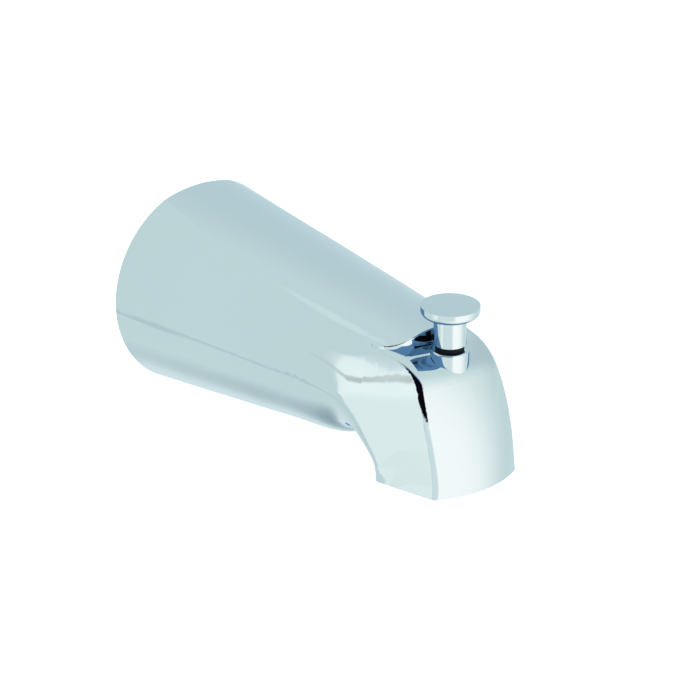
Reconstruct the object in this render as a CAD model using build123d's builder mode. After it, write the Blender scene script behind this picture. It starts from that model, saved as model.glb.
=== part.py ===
"""Bath spout with a pull-up diverter, modelled the way the real one is made.

A thin-walled casting runs from a round wall end to a flat-sided nose whose lip faces down.
A knob on the nose lifts a small gate that closes the waterway and sends the water to the shower.

Frame: origin at the centre of the wall end, on the wall; +Z up; the spout points along -Y.
Distances named forward are measured from the wall, so forward 100 lies at y = -100.
"""
from build123d import *
import os
from collections import namedtuple
from math import asin, cos, radians, sin, sqrt

os.makedirs("parts", exist_ok=True)

# Casting: body and lip
wall_diameter = 64.0        # round end that meets the wall
projection = 129.8          # wall to the foremost point of the lip
casting_wall = 2.6          # wall of the casting
lip_drop = 21.7             # lip plane below the axis
lip_depth = 20.9            # lip, from its back edge to its front corners
lip_half = 20.4             # half width of the lip at its back edge
bend_length = 27.2          # lip's back edge to the start of the bend
body_half = 22.7            # half width of the body at the start of the bend
body_belly = 21.4           # depth of the belly there, below the widest line
body_drop = 0.4             # drop of the widest line from the wall to there
body_steps = 6              # sections of the straight body

# Casting: sections that lean into the bend, the last one in the lip plane
bend_tilt = (22.5, 45.0, 67.5, 90.0)            # lean of each section, degrees
bend_back = (14.8, 7.8, 2.4, 0.0)               # distance behind the lip's back edge
bend_drop = (1.2, 7.0, 13.5, lip_drop)          # widest line below the axis
bend_half = (21.9, 21.3, 20.9, lip_half)        # half width at the widest line
bend_belly = (18.5, 13.0, 6.5, 1.5)             # belly below the widest line
bend_rise = (28.0, 33.5, 30.0, 27.0)            # flank above the widest line
bend_top_half = (10.3, 11.9, 12.9, 13.8)        # half width at the top of the flank
bend_bulge = (1.3, 0.5, 0.3, 0.2)               # bulge of the flank
arch_round = 2.2                                # round where the flank turns under into the belly
roof_rise = 1.6                                 # rise of the arc that closes the flanks

# Casting: flanks, which meet the top panel in a crease
crease_half_wall = 16.0     # half width at the crease, at the wall
crease_half_bend = 15.6     # half width at the crease, at the start of the bend
crease_rise_bend = 19.6     # height of the crease there
flank_over = 18.0           # degrees of flank carried on above the crease, cut off by the panel
arc_split = 0.02            # keeps the arcs of the round wall end apart

# Casting: top panel, a crowned tongue that ends in a step behind the knob
panel_dip = 0.7             # middle of the panel below the top of the wall end
panel_end_rise = 20.7       # middle of the panel above the axis, at the step
panel_wall_radius = 44.0    # crown radius at the wall
panel_end_radius = 27.0     # crown radius at the step
panel_arc_half = 20.0       # half width of the crowned part, wider than the crease
step_back = 22.0            # foremost point of the lip back to the step, at its middle
tongue_half = 15.0          # half width of the tongue
tongue_corner = 8.2         # plan radius of the tongue's front corners
tongue_crown = 1.2          # bulge of the tongue's front edge
step_round = 0.4            # round on the top edge of the step
crease_round = 1.2          # round on the crease between the panel and the flanks

# Casting: seat in front of the step, and the crowned front face below it
seat_back = 31.5            # foremost point of the lip back to where the seat leaves the crease
seat_height = 17.25         # height of the seat there
seat_fall = 0.13            # drop of the seat for each millimetre forward
seat_overlap = 0.5          # nose form behind the start of the seat, inside the body
brow_radius = 13.0          # round between the seat and the front face
crown_half = 14.8           # half width over which the front face's crown is measured
lip_crown = 3.7             # crown of the front face at the lip
mid_crown = 3.0             # crown halfway up
brow_crown = 2.0            # crown at the brow
front_mid_height = -4.0     # height of the halfway section
front_mid_back = 3.8        # set-back of the front face there, from the lip
front_top_height = 20.0     # height of the section above the brow
front_top_back = 16.0       # set-back of the front face there, from the lip
front_arc_half = 24.0       # half width of the front face before the flanks cut it
nose_edge_round = 2.4       # round on the long edges beside the front face
overrun = 3.0               # how far forms are carried past the faces that cut them
out_reach = 44.0            # half size of the blocks that the forms are cut with

# Waterway inside the casting
inlet_recess = 16.0         # wall to the back face of the hub
inlet_bore = 18.6           # bore of the inlet thread, half-inch pipe
bushing_diameter = 25.4     # brass bushing pressed into the hub
bushing_length = 20.0       # bushing inside the hub
bushing_flats = 27.0        # hexagon on the bushing's back end, across its flats
bushing_head = 3.0          # thickness of the hexagon
press_clearance = 0.03      # radial, between pieces that are pressed together
hub_wall = 3.2              # metal round the bushing
hub_floor = 4.0             # metal in front of the bushing
hub_taper = 32.0            # length of the taper from the hub to the waterway
waterway_bore = 14.0
waterway_wall = 2.8
web_thickness = 3.0         # web that carries the waterway on the belly
bulkhead_wall = 3.4         # wall between the open back and the nose chamber
spigot_bore = 11.0          # mouth of the waterway, closed by the gate
spigot_wall = 2.2
spigot_length = 10.6        # mouth in front of the bulkhead

# Diverter
lift = 12.0                 # travel of the knob
knob_back = 15.9            # foremost point of the lip back to the knob's axis
stem_diameter = 4.8
running_clearance = 0.05    # radial, between the stem and what it slides in
slide_clearance = 0.3       # between faces that slide past or stop against each other
end_play = 0.1              # along the stem, between pieces that it carries
boss_diameter = 11.0
boss_round = 0.5            # round on the boss's top edge
boss_rise = 1.15            # flat top of the boss above the seat's plane, at the knob's axis
boss_length = 8.6           # boss from its top down to its foot inside the nose
boss_bore = 7.4
boss_ledge = 1.0            # ledge at the foot of the boss, under the sealing ring
ledge_clearance = 0.3       # radial, between the ledge and the stem
ring_section = 1.2          # sealing ring round the stem
flange_diameter = 8.2       # flange of the stem bushing on top of the boss
flange_thickness = 1.3
shank_diameter = 9.2
shank_length = 8.5
head_diameter = 16.7
head_thickness = 3.05       # knob's head from its underside to the edge of its dome
head_dome = 0.2             # rise of the dome
head_round = 0.5            # round on the head's upper rim
head_under_round = 1.6      # round on the head's lower rim
head_neck = 1.0             # round between the shank and the head
socket_depth = 7.6          # stem's hole in the knob
gate_height = 13.0
gate_width = 15.0
gate_thickness = 2.4
gate_corner = 2.0
gate_stud = 3.0             # stud that carries the seal
seal_diameter = 13.0
seal_thickness = 1.6
barrel_diameter = 7.2       # gate's barrel, round the stem
barrel_length = 7.0         # barrel, down from the gate's top edge
collar_diameter = 6.2       # stem's collar, which stops under the boss when the knob is up
clip_thickness = 0.7
clip_diameter = 6.2
clip_groove = 3.6           # stem's diameter in the clip's groove
clip_mouth = 2.6
stem_tail = 1.0             # stem below the clip
rail_overlap = 3.0          # guide rails behind the mouth of the waterway
rail_margin = 1.0           # guide rails above and below the gate's travel, and in front of it

# Places that follow from the sizes above
lip_back = projection - lip_crown - lip_depth
bend_start = lip_back - bend_length
panel_end = projection - step_back
seat_start = projection - seat_back
knob_forward = projection - knob_back
wall_radius = wall_diameter / 2
boss_top = seat_height - seat_fall * (knob_forward - seat_start) + boss_rise
boss_foot = boss_top - boss_length
gate_offset = clip_diameter / 2 + slide_clearance + gate_thickness
gate_back = knob_forward - gate_offset
gate_bottom = -lift - gate_height / 2
gate_top = gate_bottom + gate_height
barrel_foot = gate_top - barrel_length
clip_top = barrel_foot - end_play
clip_bottom = clip_top - clip_thickness
spigot_end = gate_back - seal_thickness - slide_clearance
bulkhead_front = spigot_end - spigot_length
bulkhead_back = bulkhead_front - bulkhead_wall
hub_end = inlet_recess + bushing_length + hub_floor
shank_foot = boss_top + flange_thickness + slide_clearance
stem_radius = stem_diameter / 2

Station = namedtuple("Station", "forward height tilt half belly rise top_half bulge roof")


def across(forward, height=0.0, tilt=0.0):
    """Plane across the spout, facing forward and leaning down by tilt degrees."""
    lean = radians(tilt)
    return Plane(origin=(0, -forward, height), x_dir=(1, 0, 0), z_dir=(0, -cos(lean), -sin(lean)))


def level(height):
    """Level plane with its origin on the knob's axis."""
    return Plane(origin=(0, -knob_forward, height))


def between(start, end, share):
    return start + (end - start) * share


def crown_drop(radius, half):
    return radius - sqrt(radius ** 2 - half ** 2)


def body_station(share):
    """Section of the straight body, a share of the way from the wall to the bend."""
    half = between(wall_radius, body_half, share)
    height = -body_drop * share
    crease_half = between(crease_half_wall, crease_half_bend, share)
    crease_rise_wall = sqrt(wall_radius ** 2 - crease_half_wall ** 2)
    crease_rise = between(crease_rise_wall, crease_rise_bend, share) - height
    narrowing = half - crease_half
    flank_radius = (narrowing ** 2 + crease_rise ** 2) / (2 * narrowing)
    top_angle = asin(crease_rise / flank_radius) + radians(flank_over)
    rise = flank_radius * sin(top_angle)
    top_half = half - flank_radius * (1 - cos(top_angle))
    bulge = flank_radius * (1 - cos(top_angle / 2)) - arc_split * (1 - share)
    roof = between(wall_radius - rise - 2 * arc_split, roof_rise, share)
    belly = between(wall_radius, body_belly, share)
    return Station(bend_start * share, height, 0.0, half, belly, rise, top_half, bulge, roof)


def bend_stations():
    """Sections round the bend, leaning further and further until the last lies in the lip plane."""
    rows = zip(bend_tilt, bend_back, bend_drop, bend_half, bend_belly, bend_rise, bend_top_half, bend_bulge)
    return [
        Station(lip_back - back, -drop, tilt, half, belly, rise, top_half, bulge, roof_rise)
        for tilt, back, drop, half, belly, rise, top_half, bulge in rows
    ]


def tangents_cross(start, leaving, end, arriving):
    """Point where the line that leaves start meets the line that arrives at end."""
    gap = end - start
    turn = leaving.X * arriving.Y - leaving.Y * arriving.X
    reach = (gap.X * arriving.Y - gap.Y * arriving.X) / turn
    return start + leaving * reach


def flank_section(station, inset):
    """Belly arc, two flanks and a closing roof, drawn inset millimetres inside the outside."""
    half = station.half - inset
    top_half = station.top_half - inset
    rise = station.rise
    run = sqrt((half - top_half) ** 2 + rise ** 2)
    mid_x = (half + top_half) / 2 + station.bulge * rise / run
    mid_y = rise / 2 + station.bulge * (half - top_half) / run
    belly = ThreePointArc((-half, 0), (0, inset - station.belly), (half, 0))
    flank = ThreePointArc((half, 0), (mid_x, mid_y), (top_half, rise))
    belly = belly.trim(arch_round / belly.length, 1 - arch_round / belly.length)
    flank = flank.trim(arch_round / flank.length, 1)
    corner = tangents_cross(belly @ 1, belly % 1, flank @ 0, flank % 0)
    with BuildLine() as outline:
        add(belly)
        Bezier(belly @ 1, corner, flank @ 0)
        add(flank)
        mirror(outline.edges().sort_by(Axis.X)[1:], about=Plane.YZ)
        ThreePointArc((top_half, rise), (0, rise + station.roof), (-top_half, rise))
    place = across(station.forward, station.height, station.tilt)
    return Face(Wire(outline.edges())).moved(place.location)


def flank_form(inset):
    """The spout's sides and belly, from the round wall end to the lip."""
    stations = [body_station(step / body_steps) for step in range(body_steps + 1)] + bend_stations()
    with BuildPart() as form:
        loft([flank_section(station, inset) for station in stations])
    return form.part


def panel_section(forward, inset):
    share = forward / panel_end
    radius = between(panel_wall_radius, panel_end_radius, share) - inset
    top = between(wall_radius - panel_dip, panel_end_rise, share) - inset
    half = panel_arc_half - inset
    edge = top - crown_drop(radius, half)
    far = edge - (out_reach - half) * half / sqrt(radius ** 2 - half ** 2)
    with BuildLine(across(forward)) as outline:
        ThreePointArc((-half, edge), (0, top), (half, edge))
        Polyline((half, edge), (out_reach, far), (out_reach, -out_reach),
                 (-out_reach, -out_reach), (-out_reach, far), (-half, edge))
    return Face(Wire(outline.edges()))


def panel_form(inset):
    """Everything under the crowned top panel, back from the step."""
    end = panel_end - inset
    corner = end - tongue_crown
    half = tongue_half - inset
    with BuildPart() as form:
        loft([panel_section(-overrun, inset), panel_section(end, inset)], ruled=True)
        with BuildSketch(Plane.XY.offset(-2 * out_reach)) as plan:
            with BuildLine():
                Polyline((half, -corner), (half, -seat_start), (out_reach, -seat_start), (out_reach, 2 * overrun),
                         (-out_reach, 2 * overrun), (-out_reach, -seat_start), (-half, -seat_start),
                         (-half, -corner))
                ThreePointArc((-half, -corner), (0, -end), (half, -corner))
            make_face()
            fillet(plan.vertices().group_by(Axis.Y)[0], tongue_corner - inset)
        extrude(amount=4 * out_reach, mode=Mode.INTERSECT)
    return form.part


def front_section(height, front, crown, inset):
    radius = (crown_half ** 2 + crown ** 2) / (2 * crown) - inset
    half = front_arc_half - inset
    middle = front - inset
    side = middle - crown_drop(radius, half)
    back = seat_start - seat_overlap
    with BuildLine(Plane.XY.offset(height)) as outline:
        ThreePointArc((-half, -side), (0, -middle), (half, -side))
        Polyline((half, -side), (half, -back), (-half, -back), (-half, -side))
    return Face(Wire(outline.edges()))


def nose_form(inset):
    """Everything under the seat and behind the crowned front face."""
    seat = Plane(origin=(0, -seat_start, seat_height - inset), x_dir=(1, 0, 0), z_dir=(0, -seat_fall, 1))
    with BuildPart() as form:
        loft([
            front_section(-lip_drop - overrun, projection, lip_crown, inset),
            front_section(front_mid_height, projection - front_mid_back, mid_crown, inset),
            front_section(front_top_height, projection - front_top_back, brow_crown, inset),
        ])
        split(bisect_by=seat, keep=Keep.BOTTOM)
        brow = form.faces().sort_by(Axis.Z)[-1].edges().sort_by(Axis.Y)[0]
        fillet(brow, brow_radius - inset)
    return form.part


def beside_front(edge):
    """True for the edges where the flanks meet the seat, the brow and the front face."""
    middle = edge.center()
    beside = tongue_half / 2 < abs(middle.X) < (tongue_half + lip_half) / 2
    return beside and middle.Y < -seat_start and middle.Z > -lip_drop + overrun


def on_crease(edge):
    """True for the two edges where the flanks meet the top panel."""
    return edge.length > bend_start and edge.center().Z > crease_rise_bend / 2 and abs(edge.center().X) > overrun


def on_boss_top(edge):
    return abs(edge.center().Z - boss_top) < end_play


def at_step(edge):
    """True for the top edge of the step, round the front of the tongue."""
    middle = edge.center()
    return middle.Y < -seat_start and middle.Z > seat_height and abs(middle.X) < tongue_half - step_round


def spout_form(inset, rounded):
    """The whole outer form, or the hollow inside it when inset is the casting's wall."""
    flanks = flank_form(inset)
    panel = panel_form(inset)
    nose = nose_form(inset)
    with BuildPart() as front:
        add(nose)
        add(flanks, mode=Mode.INTERSECT)
        if rounded:
            fillet(front.edges().filter_by(beside_front), nose_edge_round)
    with BuildPart() as form:
        add(panel)
        add(flanks, mode=Mode.INTERSECT)
        if rounded:
            fillet(form.edges().filter_by(on_crease), crease_round)
            fillet(form.edges().filter_by(at_step), step_round)
        add(front.part)
    return form.part


outer_form = spout_form(0.0, rounded=True)
inner_form = spout_form(casting_wall, rounded=False)


# Hollow of the casting: the space inside its wall, less the metal that stands in it
hub_radius = bushing_diameter / 2 + hub_wall
waterway_radius = waterway_bore / 2 + waterway_wall
spigot_radius = spigot_bore / 2 + spigot_wall
rail_inside = gate_width / 2 + slide_clearance
rail_back = spigot_end - rail_overlap
rail_front = gate_back + gate_thickness + rail_margin
rail_foot = gate_bottom - rail_margin
rail_top = gate_top + lift + rail_margin

with BuildPart() as hollow:
    add(inner_form)
    with BuildSketch(across(bulkhead_back)):
        Rectangle(2 * out_reach, 2 * out_reach)
    extrude(amount=bulkhead_wall, mode=Mode.SUBTRACT)
    with BuildSketch(Plane.YZ):
        with BuildLine():
            Polyline((-inlet_recess, 0), (-inlet_recess, hub_radius), (-hub_end, hub_radius),
                     (-hub_end - hub_taper, waterway_radius), (-bulkhead_back - overrun, waterway_radius),
                     (-bulkhead_back - overrun, spigot_radius), (-spigot_end, spigot_radius),
                     (-spigot_end, 0), close=True)
        make_face()
    revolve(axis=Axis.Y, mode=Mode.SUBTRACT)
    with BuildSketch(across(hub_end)):
        with Locations((0, -out_reach / 2)):
            Rectangle(web_thickness, out_reach)
    extrude(amount=bulkhead_back - hub_end, mode=Mode.SUBTRACT)
    with BuildSketch(Plane.XY.offset(rail_foot)):
        for side in (-1, 1):
            with Locations((side * (rail_inside + out_reach / 2), -(rail_back + rail_front) / 2)):
                Rectangle(out_reach, rail_front - rail_back)
    extrude(amount=rail_top - rail_foot, mode=Mode.SUBTRACT)
    with BuildSketch(level(boss_foot)):
        Circle(boss_diameter / 2)
    extrude(amount=boss_length, mode=Mode.SUBTRACT)


# Casting
with BuildPart() as spout_body:
    add(outer_form)
    with BuildSketch(level(boss_foot)):
        Circle(boss_diameter / 2)
    extrude(amount=boss_length)
    fillet(spout_body.edges().filter_by(GeomType.CIRCLE).filter_by(on_boss_top), boss_round)
    add(hollow.part, mode=Mode.SUBTRACT)
    with BuildSketch(Plane.YZ):
        with BuildLine():
            Polyline((-inlet_recess + overrun, 0), (-inlet_recess + overrun, bushing_diameter / 2),
                     (-inlet_recess - bushing_length, bushing_diameter / 2),
                     (-inlet_recess - bushing_length, waterway_bore / 2), (-bulkhead_back, waterway_bore / 2),
                     (-bulkhead_back, spigot_bore / 2), (-spigot_end - overrun, spigot_bore / 2),
                     (-spigot_end - overrun, 0), close=True)
        make_face()
    revolve(axis=Axis.Y, mode=Mode.SUBTRACT)
    with BuildSketch(level(boss_foot - overrun)):
        Circle(stem_radius + ledge_clearance)
    extrude(amount=boss_length + overrun, mode=Mode.SUBTRACT)
    with BuildSketch(level(boss_foot + boss_ledge)):
        Circle(boss_bore / 2)
    extrude(amount=boss_length, mode=Mode.SUBTRACT)
spout_body.part.label = "spout_body"
export_step(spout_body.part, "parts/spout_body.step")


# Brass bushing in the hub, with the pipe thread's bore and a hexagon on its back end
with BuildPart() as inlet_bushing:
    with BuildSketch(across(inlet_recess)):
        Circle(bushing_diameter / 2 - press_clearance)
    extrude(amount=bushing_length - press_clearance)
    with BuildSketch(across(inlet_recess)):
        RegularPolygon(bushing_flats / 2, 6, major_radius=False)
    extrude(amount=-bushing_head)
    with BuildSketch(across(inlet_recess + bushing_length)):
        Circle(inlet_bore / 2)
    extrude(amount=-bushing_length - bushing_head, mode=Mode.SUBTRACT)
inlet_bushing.part.label = "inlet_bushing"
export_step(inlet_bushing.part, "parts/inlet_bushing.step")


# Sealing ring round the stem, on the ledge at the foot of the boss
ring_centre = stem_radius + running_clearance + ring_section / 2
ring_height = boss_foot + boss_ledge + ring_section / 2 + running_clearance

with BuildPart() as stem_o_ring:
    with BuildSketch(Plane(origin=(0, -knob_forward, ring_height), x_dir=(1, 0, 0), z_dir=(0, -1, 0))):
        with Locations((ring_centre, 0)):
            Circle(ring_section / 2)
    revolve(axis=Axis((0, -knob_forward, 0), (0, 0, 1)))
stem_o_ring.part.label = "stem_o_ring"
export_step(stem_o_ring.part, "parts/stem_o_ring.step")


# Black bushing that guides the stem, with its flange on top of the boss
stem_bushing_foot = ring_height + ring_section / 2 + slide_clearance

with BuildPart() as stem_bushing:
    with BuildSketch(level(stem_bushing_foot)):
        Circle(boss_bore / 2 - press_clearance)
    extrude(amount=boss_top - stem_bushing_foot)
    with BuildSketch(level(boss_top)):
        Circle(flange_diameter / 2)
    extrude(amount=flange_thickness)
    with BuildSketch(level(stem_bushing_foot)):
        Circle(stem_radius + running_clearance)
    extrude(amount=boss_length, mode=Mode.SUBTRACT)
stem_bushing.part.label = "stem_bushing"
export_step(stem_bushing.part, "parts/stem_bushing.step")


# Knob: a turned shank under a domed head, drilled for the stem
knob_axis = Axis((0, -knob_forward, 0), (0, 0, 1))
head_foot = shank_foot + shank_length
head_top = head_foot + head_thickness
head_radius = head_diameter / 2
dome_radius = (head_radius ** 2 + head_dome ** 2) / (2 * head_dome)
dome_middle = head_top + head_dome - crown_drop(dome_radius, head_radius / 2)
socket_top = shank_foot + socket_depth

with BuildPart() as diverter_knob:
    with BuildSketch(Plane(origin=(0, -knob_forward, 0), x_dir=(1, 0, 0), z_dir=(0, -1, 0))) as profile:
        with BuildLine():
            Polyline((0, head_top + head_dome), (0, shank_foot), (shank_diameter / 2, shank_foot),
                     (shank_diameter / 2, head_foot), (head_radius, head_foot), (head_radius, head_top))
            ThreePointArc((head_radius, head_top), (head_radius / 2, dome_middle), (0, head_top + head_dome))
        make_face()
        rim = profile.vertices().group_by(Axis.X)[-1].sort_by(Axis.Y)
        fillet(rim[0], head_under_round)
        fillet(rim[-1], head_round)
        neck = profile.vertices().filter_by_position(Axis.Y, head_foot - end_play, head_foot + end_play)
        fillet(neck.sort_by(Axis.X)[0], head_neck)
    revolve(axis=knob_axis)
    with BuildSketch(level(shank_foot)):
        Circle(stem_radius + press_clearance)
    extrude(amount=socket_depth, mode=Mode.SUBTRACT)
diverter_knob.part.label = "diverter_knob"
export_step(diverter_knob.part, "parts/diverter_knob.step")


# Stem: a turned rod with a collar over the gate and a groove for the clip
collar_foot = gate_top + end_play
collar_top = boss_foot - lift - slide_clearance
stem_foot = clip_bottom - stem_tail

with BuildPart() as lift_stem:
    with BuildSketch(level(stem_foot)):
        Circle(stem_radius)
    extrude(amount=socket_top - end_play - stem_foot)
    with BuildSketch(level(collar_foot)):
        Circle(collar_diameter / 2)
    extrude(amount=collar_top - collar_foot)
    with BuildSketch(level(clip_bottom - end_play / 2)):
        Circle(stem_radius)
        Circle(clip_groove / 2, mode=Mode.SUBTRACT)
    extrude(amount=clip_thickness + end_play, mode=Mode.SUBTRACT)
    chamfer(lift_stem.faces().sort_by(Axis.Z)[0].edges(), stem_tail / 2)
lift_stem.part.label = "lift_stem"
export_step(lift_stem.part, "parts/lift_stem.step")


# Gate: a moulded plate with a barrel on the stem and a stud for its seal
with BuildPart() as diverter_gate:
    with BuildSketch(across(gate_back, -lift)):
        RectangleRounded(gate_width, gate_height, gate_corner)
    extrude(amount=gate_thickness)
    with BuildSketch(level(barrel_foot)):
        Circle(barrel_diameter / 2)
        with Locations((0, gate_offset / 2)):
            Rectangle(barrel_diameter, gate_offset)
    extrude(amount=barrel_length)
    with BuildSketch(across(gate_back, -lift)):
        Circle(gate_stud / 2)
    extrude(amount=-seal_thickness)
    with BuildSketch(level(barrel_foot)):
        Circle(stem_radius + running_clearance)
    extrude(amount=barrel_length, mode=Mode.SUBTRACT)
diverter_gate.part.label = "diverter_gate"
export_step(diverter_gate.part, "parts/diverter_gate.step")


# Rubber seal on the back of the gate
with BuildPart() as gate_seal:
    with BuildSketch(across(gate_back, -lift)):
        Circle(seal_diameter / 2)
        Circle(gate_stud / 2 + running_clearance, mode=Mode.SUBTRACT)
    extrude(amount=-seal_thickness)
gate_seal.part.label = "gate_seal"
export_step(gate_seal.part, "parts/gate_seal.step")


# Spring clip in the stem's groove, under the gate
with BuildPart() as gate_clip:
    with BuildSketch(level(clip_bottom)):
        Circle(clip_diameter / 2)
        Circle(clip_groove / 2 + running_clearance, mode=Mode.SUBTRACT)
        with Locations((0, -clip_diameter / 2)):
            Rectangle(clip_mouth, clip_diameter, mode=Mode.SUBTRACT)
    extrude(amount=clip_thickness)
gate_clip.part.label = "gate_clip"
export_step(gate_clip.part, "parts/gate_clip.step")
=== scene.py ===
"""Finish and studio stage for a chrome bath spout with a pull-up diverter.

The casting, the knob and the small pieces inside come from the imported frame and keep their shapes.
This file plates, turns and moulds their surfaces, leaves the hollow of the casting bare,
winds the pipe thread in the inlet bushing, and sets up the white studio that the chrome reflects.
"""
import math
from collections import namedtuple

import bpy
from bpy.props import FloatProperty, FloatVectorProperty, IntProperty, PointerProperty
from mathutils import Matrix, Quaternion, Vector
from mathutils.bvhtree import BVHTree


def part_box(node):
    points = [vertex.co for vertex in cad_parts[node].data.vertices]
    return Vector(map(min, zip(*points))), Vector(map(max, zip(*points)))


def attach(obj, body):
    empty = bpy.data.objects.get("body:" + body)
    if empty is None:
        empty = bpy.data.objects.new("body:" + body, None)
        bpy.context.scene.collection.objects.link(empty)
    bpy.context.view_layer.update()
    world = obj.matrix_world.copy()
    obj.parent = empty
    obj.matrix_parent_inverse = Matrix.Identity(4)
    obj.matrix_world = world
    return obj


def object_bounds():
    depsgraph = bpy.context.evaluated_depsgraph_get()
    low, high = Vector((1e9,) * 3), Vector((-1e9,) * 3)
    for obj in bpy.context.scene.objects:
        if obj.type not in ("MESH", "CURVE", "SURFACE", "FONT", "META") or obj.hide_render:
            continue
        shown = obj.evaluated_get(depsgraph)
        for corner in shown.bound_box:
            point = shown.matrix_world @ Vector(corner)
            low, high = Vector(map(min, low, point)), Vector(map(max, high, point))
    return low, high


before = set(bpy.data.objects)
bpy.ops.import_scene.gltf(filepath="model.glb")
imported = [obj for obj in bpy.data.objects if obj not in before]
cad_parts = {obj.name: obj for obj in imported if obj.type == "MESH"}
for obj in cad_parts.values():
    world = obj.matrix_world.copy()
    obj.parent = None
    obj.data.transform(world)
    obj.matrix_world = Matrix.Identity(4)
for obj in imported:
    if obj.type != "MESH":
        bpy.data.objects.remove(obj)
CAD_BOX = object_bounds()

bl_info = {
    "name": "Bath Spout",
    "version": (1, 0, 0),
    "blender": (4, 5, 0),
    "location": "View3D > Sidebar > Bath Spout",
    "description": "Finishes a chrome bath spout and sets up its studio",
    "category": "Object",
}

SPOUT = "spout"
CASTING = "spout_body"
BUSHING = "inlet_bushing"
PHOTO_WIDTH = 700.0
SENSOR_WIDTH = 36.0
NEAREST_SEEN = 0.01
UP = Vector((0.0, 0.0, 1.0))
QUARTER_TURN = math.radians(90.0)
SMOOTH_ANGLE = math.radians(35.0)

# Spacing of a Wave Texture's bands at a scale of 1
BAND_SPACING = math.pi / 10

# Range that most values of a Noise Texture fall in
NOISE_LOW = 0.3
NOISE_HIGH = 0.7

# Least depth of a direction in front of an opening, so that nothing behind it counts as inside
LEAST_DEPTH = 0.001

# Ray depth at the world for light that has been reflected once and twice
REFLECTED_ONCE = 2.0
REFLECTED_TWICE = 3.0


class ChromeSettings(bpy.types.PropertyGroup):
    """Polished plating of the casting and the knob."""

    tint: FloatVectorProperty(
        name="Tint", description="Colour that the plating gives to its reflections",
        subtype="COLOR", size=3, min=0.0, max=1.0, default=(0.62, 0.69, 0.70))
    haze: FloatProperty(
        name="Haze", description="Roughness of the clean plating",
        subtype="FACTOR", min=0.0, max=1.0, default=0.015)
    smudge: FloatProperty(
        name="Smudge", description="Roughness that faint water marks add",
        subtype="FACTOR", min=0.0, max=1.0, default=0.03)
    smudge_scale: FloatProperty(
        name="Smudge Scale", description="Water marks in each metre",
        min=1.0, default=55.0)
    ripple: FloatProperty(
        name="Ripple", description="Height of the polishing ripple under the plating",
        subtype="DISTANCE", unit="LENGTH", min=0.0, default=0.000004)
    ripple_scale: FloatProperty(
        name="Ripple Scale", description="Polishing ripples in each metre",
        min=1.0, default=70.0)


class HollowSettings(bpy.types.PropertyGroup):
    """Bare casting inside the spout, which the plating doesn't reach."""

    colour: FloatVectorProperty(
        name="Colour", description="Bare cast metal",
        subtype="COLOR", size=3, min=0.0, max=1.0, default=(0.34, 0.35, 0.36))
    grain: FloatProperty(
        name="Grain", description="Grains in each metre", min=1.0, default=2400.0)
    depth: FloatProperty(
        name="Depth", description="Height of the grain",
        subtype="DISTANCE", unit="LENGTH", min=0.0, default=0.00006)
    lean: FloatProperty(
        name="Lean", description="Lean of the lines of sight that tell the hollow from the outside",
        subtype="ANGLE", default=math.radians(50.0))
    lines: IntProperty(
        name="Lines", description="Lines of sight round each face's normal", min=3, default=12)
    closed_share: FloatProperty(
        name="Closed Share", description="Share of the lines of sight that end on metal inside the hollow",
        subtype="FACTOR", min=0.0, max=1.0, default=0.35)
    start_gap: FloatProperty(
        name="Start Gap", description="Distance from a face at which its lines of sight start",
        subtype="DISTANCE", unit="LENGTH", min=0.0, precision=6,
        default=(CAD_BOX[1] - CAD_BOX[0]).length / 10000)


class FittingSettings(bpy.types.PropertyGroup):
    """Brass, steel, plastic and rubber pieces."""

    brass: FloatVectorProperty(
        name="Brass", description="Machined brass of the inlet bushing",
        subtype="COLOR", size=3, min=0.0, max=1.0, default=(0.72, 0.52, 0.23))
    steel: FloatVectorProperty(
        name="Steel", description="Turned steel of the stem and its clip",
        subtype="COLOR", size=3, min=0.0, max=1.0, default=(0.60, 0.61, 0.62))
    # The bushing is a real moulded part, but this near-black, darker than real plastic, is also painted
    # shade for the shadowed gap round the knob's shank
    black: FloatVectorProperty(
        name="Black Plastic", description="Moulded bushing under the knob",
        subtype="COLOR", size=3, min=0.0, max=1.0, default=(0.004, 0.004, 0.005))
    rubber: FloatVectorProperty(
        name="Rubber", description="Sealing ring and gate seal",
        subtype="COLOR", size=3, min=0.0, max=1.0, default=(0.022, 0.022, 0.022))
    white: FloatVectorProperty(
        name="White Plastic", description="Moulded gate",
        subtype="COLOR", size=3, min=0.0, max=1.0, default=(0.80, 0.80, 0.77))
    turning_pitch: FloatProperty(
        name="Turning Pitch", description="Spacing of the marks that a lathe leaves",
        subtype="DISTANCE", unit="LENGTH", min=0.00001, default=0.0003)


class ThreadSettings(bpy.types.PropertyGroup):
    """Pipe thread inside the inlet bushing."""

    pitch: FloatProperty(
        name="Pitch", description="Distance from one thread crest to the next",
        subtype="DISTANCE", unit="LENGTH", min=0.0005, default=0.001814)
    ridge: FloatProperty(
        name="Ridge", description="Radius round the three corners of the thread's ridge",
        subtype="DISTANCE", unit="LENGTH", min=0.0001, default=0.00055)
    root: FloatProperty(
        name="Root", description="Depth to which the ridge is sunk into the bore's wall",
        subtype="DISTANCE", unit="LENGTH", min=0.0, default=0.0003)
    steps: IntProperty(
        name="Steps", description="Steps in each turn of the thread", min=12, default=72)


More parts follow.
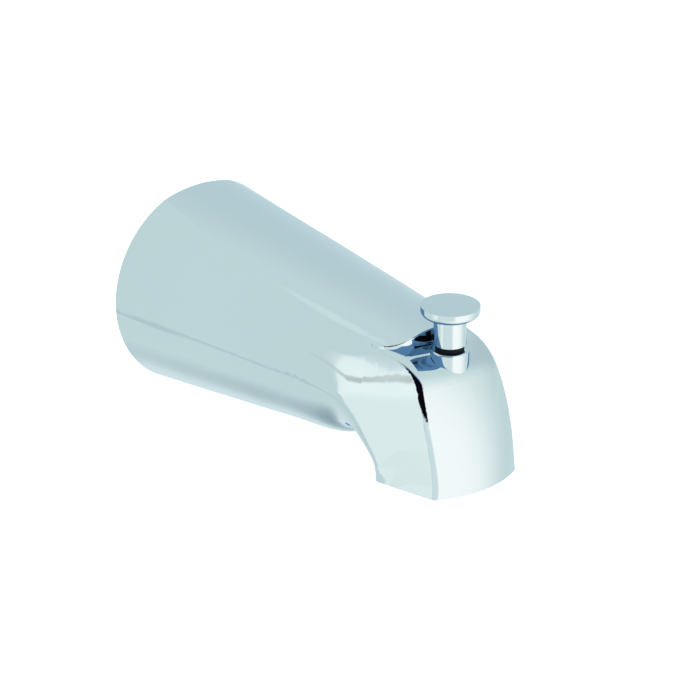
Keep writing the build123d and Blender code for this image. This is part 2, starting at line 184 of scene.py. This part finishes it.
class StageSettings(bpy.types.PropertyGroup):
    """Camera, floor and studio light."""

    azimuth: FloatProperty(
        name="Azimuth", description="Camera's direction round the spout, in degrees", default=-40.0)
    elevation: FloatProperty(
        name="Elevation", description="Camera's height above the horizon, in degrees", default=24.3)
    distance: FloatProperty(
        name="Distance", description="Camera's distance from its aim",
        subtype="DISTANCE", unit="LENGTH", default=0.9)
    aim: FloatVectorProperty(
        name="Aim", description="Point that the camera looks at",
        subtype="TRANSLATION", unit="LENGTH", size=3, default=(0.0, -0.060, 0.0))
    focal_px: FloatProperty(
        name="Focal Length", description="Focal length, in pixels of a 700 pixel frame", default=3069.34)
    centre_px: FloatVectorProperty(
        name="Picture Centre", description="Pixel of the frame where the aim falls",
        size=2, default=(325.46, 340.73))
    room: FloatVectorProperty(
        name="Room", description="Walls and ceiling of the studio",
        subtype="COLOR", size=3, min=0.0, max=2.0, default=(0.82, 0.955, 0.975))
    table: FloatVectorProperty(
        name="Table", description="Shaded table straight under the spout",
        subtype="COLOR", size=3, min=0.0, max=2.0, default=(0.30, 0.42, 0.50))
    table_start: FloatProperty(
        name="Table Start", description="Elevation at which the room starts to darken, in degrees",
        default=-44.0)
    table_end: FloatProperty(
        name="Table End", description="Elevation at which it is as dark as the table, in degrees",
        default=-66.0)
    recess: FloatVectorProperty(
        name="Recess", description="Studio as it is seen through two reflections or more",
        subtype="COLOR", size=3, min=0.0, max=2.0, default=(0.20, 0.40, 0.72))
    backdrop: FloatVectorProperty(
        name="Backdrop", description="Plain backdrop behind the floor",
        subtype="COLOR", size=3, min=0.0, max=2.0, default=(1.0, 1.0, 1.0))
    floor_drop: FloatProperty(
        name="Floor Drop", description="Floor below the spout's lowest point",
        subtype="DISTANCE", unit="LENGTH", min=0.0, default=0.06)
    floor_size: FloatProperty(
        name="Floor Size", description="Side of the floor",
        subtype="DISTANCE", unit="LENGTH", min=0.5, default=8.0)
    floor_colour: FloatVectorProperty(
        name="Floor", description="Plain pale floor",
        subtype="COLOR", size=3, min=0.0, max=1.0, default=(0.9, 0.9, 0.9))
    floor_glow: FloatProperty(
        name="Floor Glow", description="Light that the floor gives off, so that its shadows stay pale",
        min=0.0, default=0.5)


# Angles are in degrees; a glow fades from its inner to its outer angle.
Glow = namedtuple("Glow", "name azimuth elevation inner outer colour")
GLOWS = (
    Glow("front_window", -8.0, -12.0, 6.0, 80.0, (1.42, 1.38, 1.36)),
    Glow("far_corner", 145.0, 5.0, 10.0, 60.0, (0.68, 0.83, 0.885)),
)

# Softness is a share of the half width and half height; a later opening covers an earlier one.
Opening = namedtuple("Opening", "name azimuth elevation width height roll softness colour")
OPENINGS = (
    Opening("side_window", -103.5, -8.0, 27.0, 42.0, 0.0, 0.05, (1.12, 1.20, 1.18)),
    Opening("side_sill", -104.0, 1.0, 24.0, 15.0, 0.0, 0.30, (1.26, 1.32, 1.32)),
    Opening("front_wall", -52.0, -16.0, 50.0, 40.0, 6.0, 0.40, (0.92, 1.04, 1.05)),
    Opening("side_table_edge", -108.0, -3.5, 18.0, 1.5, -22.0, 0.85, (0.60, 0.66, 0.66)),
    Opening("far_table_edge", -140.0, -27.0, 40.0, 2.2, 0.0, 0.95, (0.68, 0.80, 0.83)),
    Opening("ceiling_strip", -167.5, 55.7, 5.0, 2.2, 0.0, 0.50, (0.91, 1.05, 1.07)),
    Opening("right_wall", 88.0, 28.0, 46.0, 40.0, 0.0, 0.50, (0.66, 0.78, 0.83)),
    Opening("doorway_sky", -66.0, 42.0, 78.0, 16.0, 11.0, 0.50, (0.10, 0.19, 0.42)),
    Opening("doorway", -66.0, 23.5, 78.0, 42.5, 11.0, 0.09, (0.004, 0.004, 0.008)),
)


def deselect_all():
    """Leaves object mode on and nothing selected for the operators that follow."""
    if bpy.context.mode != "OBJECT":
        bpy.ops.object.mode_set(mode="OBJECT")
    bpy.ops.object.select_all(action="DESELECT")


class Nodes:
    """Node tree whose nodes are added one call at a time."""

    def __init__(self, tree):
        self.tree = tree

    def add(self, kind, settings=None, **inputs):
        """New node; the name of an input has underscores in place of its spaces."""
        node = self.tree.nodes.new(kind)
        for name, value in (settings or {}).items():
            setattr(node, name, value)
        for name, value in inputs.items():
            self.feed(node, name.replace("_", " "), value)
        return node

    def feed(self, node, key, value):
        """Links a socket to the input, or sets the input's own value."""
        if isinstance(value, bpy.types.NodeSocket):
            self.tree.links.new(value, node.inputs[key])
        else:
            node.inputs[key].default_value = value

    def surface(self, **inputs):
        """Feeds the material's own Principled BSDF."""
        for name, value in inputs.items():
            self.feed(self.tree.nodes["Principled BSDF"], name.replace("_", " "), value)

    def place(self):
        return self.add("ShaderNodeTexCoord").outputs["Object"]

    def noise(self, vector, scale, detail=2.0, roughness=0.5):
        node = self.add(
            "ShaderNodeTexNoise", Vector=vector, Scale=scale, Detail=detail, Roughness=roughness)
        return node.outputs["Fac"]

    def spread(self, value, low, high, to_low, to_high):
        node = self.add(
            "ShaderNodeMapRange",
            Value=value, From_Min=low, From_Max=high, To_Min=to_low, To_Max=to_high)
        return node.outputs["Result"]

    def ease(self, value, low, high):
        """Smooth rise from 0 at low to 1 at high."""
        node = self.add(
            "ShaderNodeMapRange", {"interpolation_type": "SMOOTHSTEP"},
            Value=value, From_Min=low, From_Max=high)
        return node.outputs["Result"]

    def blend(self, factor, first, second):
        """Mix of two colours, whose sockets come after the Mix node's number and vector sockets."""
        node = self.add("ShaderNodeMix", {"data_type": "RGBA"}, Factor=factor)
        self.feed(node, 6, first)
        self.feed(node, 7, second)
        return node.outputs[2]

    def math(self, operation, first, second=0.0):
        node = self.add("ShaderNodeMath", {"operation": operation})
        self.feed(node, 0, first)
        self.feed(node, 1, second)
        return node.outputs["Value"]

    def along(self, vector, direction):
        """How far the vector reaches along a fixed direction."""
        node = self.add("ShaderNodeVectorMath", {"operation": "DOT_PRODUCT"})
        self.feed(node, 0, vector)
        self.feed(node, 1, direction)
        return node.outputs["Value"]

    def bump(self, height, distance, strength=1.0):
        node = self.add("ShaderNodeBump", Height=height, Distance=distance, Strength=strength)
        return node.outputs["Normal"]


def new_finish(name):
    """New material, and the node tree that its look is built in."""
    material = bpy.data.materials.new(name)
    material.use_nodes = True
    return material, Nodes(material.node_tree)


def shade(colour, factor=1.0):
    """Colour as four channels, darkened or lightened by factor."""
    return (*[channel * factor for channel in colour], 1.0)


def clouded(nodes, place, colour, scale, detail, dark, pale):
    """Colour that drifts between a darker and a paler tone of itself."""
    cloud = nodes.noise(place, scale, detail=detail)
    return nodes.blend(cloud, shade(colour, dark), shade(colour, pale))


def plated_chrome(name, settings):
    """Polished plating: a clean reflection with faint water marks and a slow polishing ripple."""
    material, nodes = new_finish(name)
    place = nodes.place()
    tone = clouded(nodes, place, settings.tint, settings.smudge_scale / 4, detail=2.0, dark=0.97, pale=1.03)
    marks = nodes.noise(place, settings.smudge_scale, detail=6.0, roughness=0.6)
    haze = nodes.spread(marks, 0.5, 0.8, settings.haze, settings.haze + settings.smudge)
    ripple = nodes.noise(place, settings.ripple_scale, detail=1.0)
    nodes.surface(Metallic=1.0, Base_Color=tone, Roughness=haze, Normal=nodes.bump(ripple, settings.ripple))
    return material


def bare_casting(name, settings):
    """Unplated inside of the casting: dull grey with a sandy grain."""
    material, nodes = new_finish(name)
    place = nodes.place()
    tone = clouded(nodes, place, settings.colour, settings.grain / 30, detail=3.0, dark=0.75, pale=1.2)
    grain = nodes.noise(place, settings.grain, detail=4.0, roughness=0.65)
    rough = nodes.spread(grain, NOISE_LOW, NOISE_HIGH, 0.45, 0.7)
    nodes.surface(Metallic=0.85, Base_Color=tone, Roughness=rough, Normal=nodes.bump(grain, settings.depth))
    return material


def turned_metal(name, colour, pitch, turning_axis):
    """Metal with the fine rings that a lathe leaves, spaced by pitch along turning_axis."""
    material, nodes = new_finish(name)
    place = nodes.place()
    tone = clouded(nodes, place, colour, 160.0, detail=4.0, dark=0.82, pale=1.08)
    rings = nodes.add(
        "ShaderNodeTexWave", {"wave_type": "BANDS", "bands_direction": turning_axis},
        Vector=place, Scale=BAND_SPACING / pitch, Distortion=0.6, Detail=2.0)
    rough = nodes.spread(rings.outputs["Fac"], 0.0, 1.0, 0.22, 0.36)
    normal = nodes.bump(rings.outputs["Fac"], pitch / 30)
    nodes.surface(Metallic=1.0, Base_Color=tone, Roughness=rough, Normal=normal)
    return material


def moulded(name, colour, smoothest, roughest, grain, depth, gloss=0.5):
    """Plastic or rubber with a fine moulded grain and a slight change of tone."""
    material, nodes = new_finish(name)
    place = nodes.place()
    tone = clouded(nodes, place, colour, grain / 12, detail=2.0, dark=0.88, pale=1.1)
    fine = nodes.noise(place, grain, detail=3.0)
    rough = nodes.spread(fine, NOISE_LOW, NOISE_HIGH, smoothest, roughest)
    normal = nodes.bump(fine, depth)
    nodes.surface(Base_Color=tone, Roughness=rough, Normal=normal, Specular_IOR_Level=gloss)
    return material


def finish_node(name, *materials):
    """Gives a CAD node these materials in place of those it came with."""
    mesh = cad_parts[name].data
    mesh.materials.clear()
    for material in materials:
        mesh.materials.append(material)


class SPOUT_OT_plate_casting(bpy.types.Operator):
    """Plate the outside of the casting with chrome and leave its hollow bare"""

    bl_idname = "spout.plate_casting"
    bl_label = "Plate Casting"

    def execute(self, context):
        hollow = context.scene.spout_hollow
        chrome = plated_chrome("chrome_casting", context.scene.spout_chrome)
        finish_node(CASTING, chrome, bare_casting("bare_casting", hollow))
        bare_the_hollow(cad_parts[CASTING].data, hollow)
        return {"FINISHED"}


def bare_the_hollow(mesh, hollow):
    """Gives the second material to faces that metal covers from above and shuts in.

    A face is shut in where enough of the lines of sight round its normal end on metal,
    or where all the level lines do, as in the nose's chamber above the lip.
    """
    corners = [vertex.co for vertex in mesh.vertices]
    skin = BVHTree.FromPolygons(corners, [face.vertices for face in mesh.polygons])
    level = lines_round(UP, QUARTER_TURN, hollow.lines)
    for face in mesh.polygons:
        start = face.center + face.normal * hollow.start_gap
        sights = [face.normal] + lines_round(face.normal, hollow.lean, hollow.lines)
        beside = share_closed(skin, start, sights) > hollow.closed_share
        all_round = share_closed(skin, start, level) == 1.0
        covered = share_closed(skin, start, [UP]) == 1.0
        face.material_index = int(covered and (beside or all_round))


def lines_round(axis, lean, count):
    """Lines that lean away from an axis, spaced evenly round it."""
    leaning = Quaternion(axis.orthogonal(), lean) @ axis
    return [Quaternion(axis, math.tau * line / count) @ leaning for line in range(count)]


def share_closed(skin, start, lines):
    """Share of the lines from start that end on the skin."""
    return sum(skin.ray_cast(start, line)[0] is not None for line in lines) / len(lines)


class SPOUT_OT_plate_knob(bpy.types.Operator):
    """Plate the pull-up knob with chrome"""

    bl_idname = "spout.plate_knob"
    bl_label = "Plate Knob"

    def execute(self, context):
        finish_node("diverter_knob", plated_chrome("chrome_knob", context.scene.spout_chrome))
        return {"FINISHED"}


class SPOUT_OT_fit_inlet(bpy.types.Operator):
    """Finish the brass inlet bushing and wind the pipe thread in its bore"""

    bl_idname = "spout.fit_inlet"
    bl_label = "Fit Inlet"

    def execute(self, context):
        fitting = context.scene.spout_fittings
        brass = turned_metal("thread_brass", fitting.brass, fitting.turning_pitch, "Y")
        finish_node(BUSHING, brass)
        thread = wind_thread(context.scene.spout_thread)
        thread.data.materials.append(brass)
        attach(thread, SPOUT)
        return {"FINISHED"}


def wind_thread(thread):
    """Three-sided ridge wound along the bushing's bore, its flat base sunk into the wall.

    The base lies half the corners' radius away from the ridge's middle.
    """
    bore = min(math.hypot(vertex.co.x, vertex.co.z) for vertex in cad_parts[BUSHING].data.vertices)
    front, back = (corner.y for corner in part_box(BUSHING))
    turns = math.floor((back - front) / thread.pitch) - 1
    lead = (back - front - turns * thread.pitch) / 2
    deselect_all()
    bpy.ops.mesh.primitive_circle_add(
        vertices=3, radius=thread.ridge, rotation=(0.0, 0.0, QUARTER_TURN),
        location=(bore + thread.root - thread.ridge / 2, front + lead, 0.0))
    ridge = bpy.context.active_object
    ridge.name = "pipe_thread"
    bpy.ops.object.transform_apply(location=True, rotation=True, scale=True)
    winding = ridge.modifiers.new("winding", "SCREW")
    winding.axis = "Y"
    winding.screw_offset = thread.pitch
    winding.iterations = turns
    winding.steps = thread.steps
    winding.render_steps = thread.steps
    bpy.ops.object.modifier_apply(modifier=winding.name)
    bpy.ops.object.mode_set(mode="EDIT")
    bpy.ops.mesh.select_mode(type="EDGE")
    bpy.ops.mesh.select_all(action="DESELECT")
    bpy.ops.mesh.select_non_manifold()
    bpy.ops.mesh.fill_holes(sides=3)
    bpy.ops.mesh.select_all(action="SELECT")
    bpy.ops.mesh.normals_make_consistent(inside=False)
    bpy.ops.object.mode_set(mode="OBJECT")
    bpy.ops.object.shade_smooth_by_angle(angle=SMOOTH_ANGLE)
    return ridge


class SPOUT_OT_finish_fittings(bpy.types.Operator):
    """Finish the steel, plastic and rubber pieces of the diverter"""

    bl_idname = "spout.finish_fittings"
    bl_label = "Finish Fittings"

    def execute(self, context):
        fitting = context.scene.spout_fittings
        steel = turned_metal("stem_steel", fitting.steel, fitting.turning_pitch, "Z")
        finish_node("lift_stem", steel)
        finish_node("gate_clip", steel)
        # Black plastic bushing whose near-black colour also paints the shade in the gap under the knob
        finish_node("stem_bushing", moulded(
            "black_plastic", fitting.black,
            smoothest=0.4, roughest=0.55, grain=4000.0, depth=0.00001, gloss=0.2))
        rubber = moulded(
            "seal_rubber", fitting.rubber, smoothest=0.55, roughest=0.75, grain=6000.0, depth=0.00002)
        finish_node("stem_o_ring", rubber)
        finish_node("gate_seal", rubber)
        finish_node("diverter_gate", moulded(
            "gate_plastic", fitting.white, smoothest=0.38, roughest=0.52, grain=3000.0, depth=0.00002))
        return {"FINISHED"}


class SPOUT_OT_build_stage(bpy.types.Operator):
    """Build the studio light, the floor and the camera"""

    bl_idname = "spout.build_stage"
    bl_label = "Build Stage"

    def execute(self, context):
        stage = context.scene.spout_stage
        build_room(stage)
        build_floor(stage)
        aim_camera(stage)
        return {"FINISHED"}


def build_room(stage):
    """Pale studio that darkens towards the table, with windows, wall tones, thin strips and a dark doorway.

    The camera sees a plain white backdrop in its place, and light reflected twice or more sees plain blue.
    """
    world = bpy.data.worlds.new("studio")
    bpy.context.scene.world = world
    bpy.context.scene.view_settings.view_transform = "Standard"
    world.use_nodes = True
    nodes = Nodes(world.node_tree)
    toward = nodes.add("ShaderNodeTexCoord").outputs["Generated"]
    height = nodes.along(toward, UP)
    dark, pale = (math.sin(math.radians(end)) for end in (stage.table_end, stage.table_start))
    above_table = nodes.ease(height, dark, pale)
    light = nodes.blend(above_table, shade(stage.table), shade(stage.room))
    for glow in GLOWS:
        light = nodes.blend(glow_reach(nodes, toward, glow), light, shade(glow.colour))
    for opening in OPENINGS:
        light = nodes.blend(opening_reach(nodes, toward, opening), light, shade(opening.colour))
    path = nodes.add("ShaderNodeLightPath")
    in_recess = nodes.ease(path.outputs["Ray Depth"], REFLECTED_ONCE, REFLECTED_TWICE)
    light = nodes.blend(in_recess, light, shade(stage.recess))
    backdrop = nodes.blend(path.outputs["Is Camera Ray"], light, shade(stage.backdrop))
    nodes.feed(world.node_tree.nodes["Background"], "Color", backdrop)


def glow_reach(nodes, toward, glow):
    """1 in the middle of a round glow, falling to 0 at its outer angle."""
    facing = nodes.along(toward, view_direction(glow.azimuth, glow.elevation))
    outer, inner = (math.cos(math.radians(angle)) for angle in (glow.outer, glow.inner))
    return nodes.ease(facing, outer, inner)


def opening_reach(nodes, toward, opening):
    """1 inside a four-sided opening, falling to 0 across its soft edge."""
    ahead = view_direction(opening.azimuth, opening.elevation)
    level = view_direction(opening.azimuth + 90.0, 0.0)
    turn = Quaternion(ahead, math.radians(opening.roll))
    across = turn @ level / math.tan(math.radians(opening.width / 2))
    up = turn @ ahead.cross(level) / math.tan(math.radians(opening.height / 2))
    sideways = nodes.math("ABSOLUTE", nodes.along(toward, across))
    upwards = nodes.math("ABSOLUTE", nodes.along(toward, up))
    depth = nodes.math("MAXIMUM", nodes.along(toward, ahead), LEAST_DEPTH)
    out = nodes.math("DIVIDE", nodes.math("MAXIMUM", sideways, upwards), depth)
    return nodes.ease(out, 1.0 + opening.softness, 1.0 - opening.softness)


def build_floor(stage):
    """Plain pale floor under the spout, clear from below.

    The plating doesn't reflect it and shows the room's shaded table instead.
    """
    deselect_all()
    height = CAD_BOX[0].z - stage.floor_drop
    bpy.ops.mesh.primitive_plane_add(size=stage.floor_size, location=(0.0, 0.0, height))
    floor = bpy.context.active_object
    floor.name = "studio_floor"
    floor.visible_glossy = False
    material, nodes = new_finish("pale_floor")
    nodes.surface(Base_Color=shade(stage.floor_colour), Roughness=0.8)
    nodes.surface(Emission_Color=(1.0, 1.0, 1.0, 1.0), Emission_Strength=stage.floor_glow)
    underside = nodes.add("ShaderNodeNewGeometry").outputs["Backfacing"]
    sides = nodes.add("ShaderNodeMixShader", Fac=underside)
    nodes.feed(sides, 1, nodes.tree.nodes["Principled BSDF"].outputs["BSDF"])
    nodes.feed(sides, 2, nodes.add("ShaderNodeBsdfTransparent").outputs["BSDF"])
    nodes.feed(nodes.tree.nodes["Material Output"], "Surface", sides.outputs["Shader"])
    floor.data.materials.append(material)


def view_direction(azimuth, elevation):
    """Direction from the spout to a camera at this azimuth and elevation, in degrees."""
    turn = math.radians(azimuth)
    lift = math.radians(elevation)
    return Vector((math.sin(turn) * math.cos(lift), -math.cos(turn) * math.cos(lift), math.sin(lift)))


def aim_camera(stage):
    """Camera at the photograph's angle and framing."""
    data = bpy.data.cameras.new("camera")
    camera = bpy.data.objects.new("camera", data)
    bpy.context.collection.objects.link(camera)
    back = view_direction(stage.azimuth, stage.elevation)
    camera.location = Vector(stage.aim) + back * stage.distance
    camera.rotation_euler = (-back).to_track_quat("-Z", "Y").to_euler()
    data.sensor_width = SENSOR_WIDTH
    data.lens = SENSOR_WIDTH * stage.focal_px / PHOTO_WIDTH
    data.shift_x = 0.5 - stage.centre_px[0] / PHOTO_WIDTH
    data.shift_y = stage.centre_px[1] / PHOTO_WIDTH - 0.5
    data.clip_start = NEAREST_SEEN
    bpy.context.scene.camera = camera


class SPOUT_PT_sidebar(bpy.types.Panel):
    """Steps and settings of the bath spout"""

    bl_label = "Bath Spout"
    bl_idname = "SPOUT_PT_sidebar"
    bl_space_type = "VIEW_3D"
    bl_region_type = "UI"
    bl_category = "Bath Spout"

    def draw(self, context):
        for step in STEPS:
            self.layout.operator(step.bl_idname)
        for name in SETTINGS:
            group = getattr(context.scene, name)
            box = self.layout.box()
            for field in group.__annotations__:
                box.prop(group, field)


SETTINGS = {
    "spout_chrome": ChromeSettings,
    "spout_hollow": HollowSettings,
    "spout_fittings": FittingSettings,
    "spout_thread": ThreadSettings,
    "spout_stage": StageSettings,
}
STEPS = (
    SPOUT_OT_plate_casting,
    SPOUT_OT_plate_knob,
    SPOUT_OT_fit_inlet,
    SPOUT_OT_finish_fittings,
    SPOUT_OT_build_stage,
)
CLASSES = (*SETTINGS.values(), *STEPS, SPOUT_PT_sidebar)


def register():
    for cls in CLASSES:
        bpy.utils.register_class(cls)
    for name, group in SETTINGS.items():
        setattr(bpy.types.Scene, name, PointerProperty(type=group))


def unregister():
    for name in SETTINGS:
        delattr(bpy.types.Scene, name)
    for cls in reversed(CLASSES):
        bpy.utils.unregister_class(cls)


def main():
    register()
    bpy.ops.spout.plate_casting()
    bpy.ops.spout.plate_knob()
    bpy.ops.spout.fit_inlet()
    bpy.ops.spout.finish_fittings()
    bpy.ops.spout.build_stage()


if __name__ == "__main__":
    main()
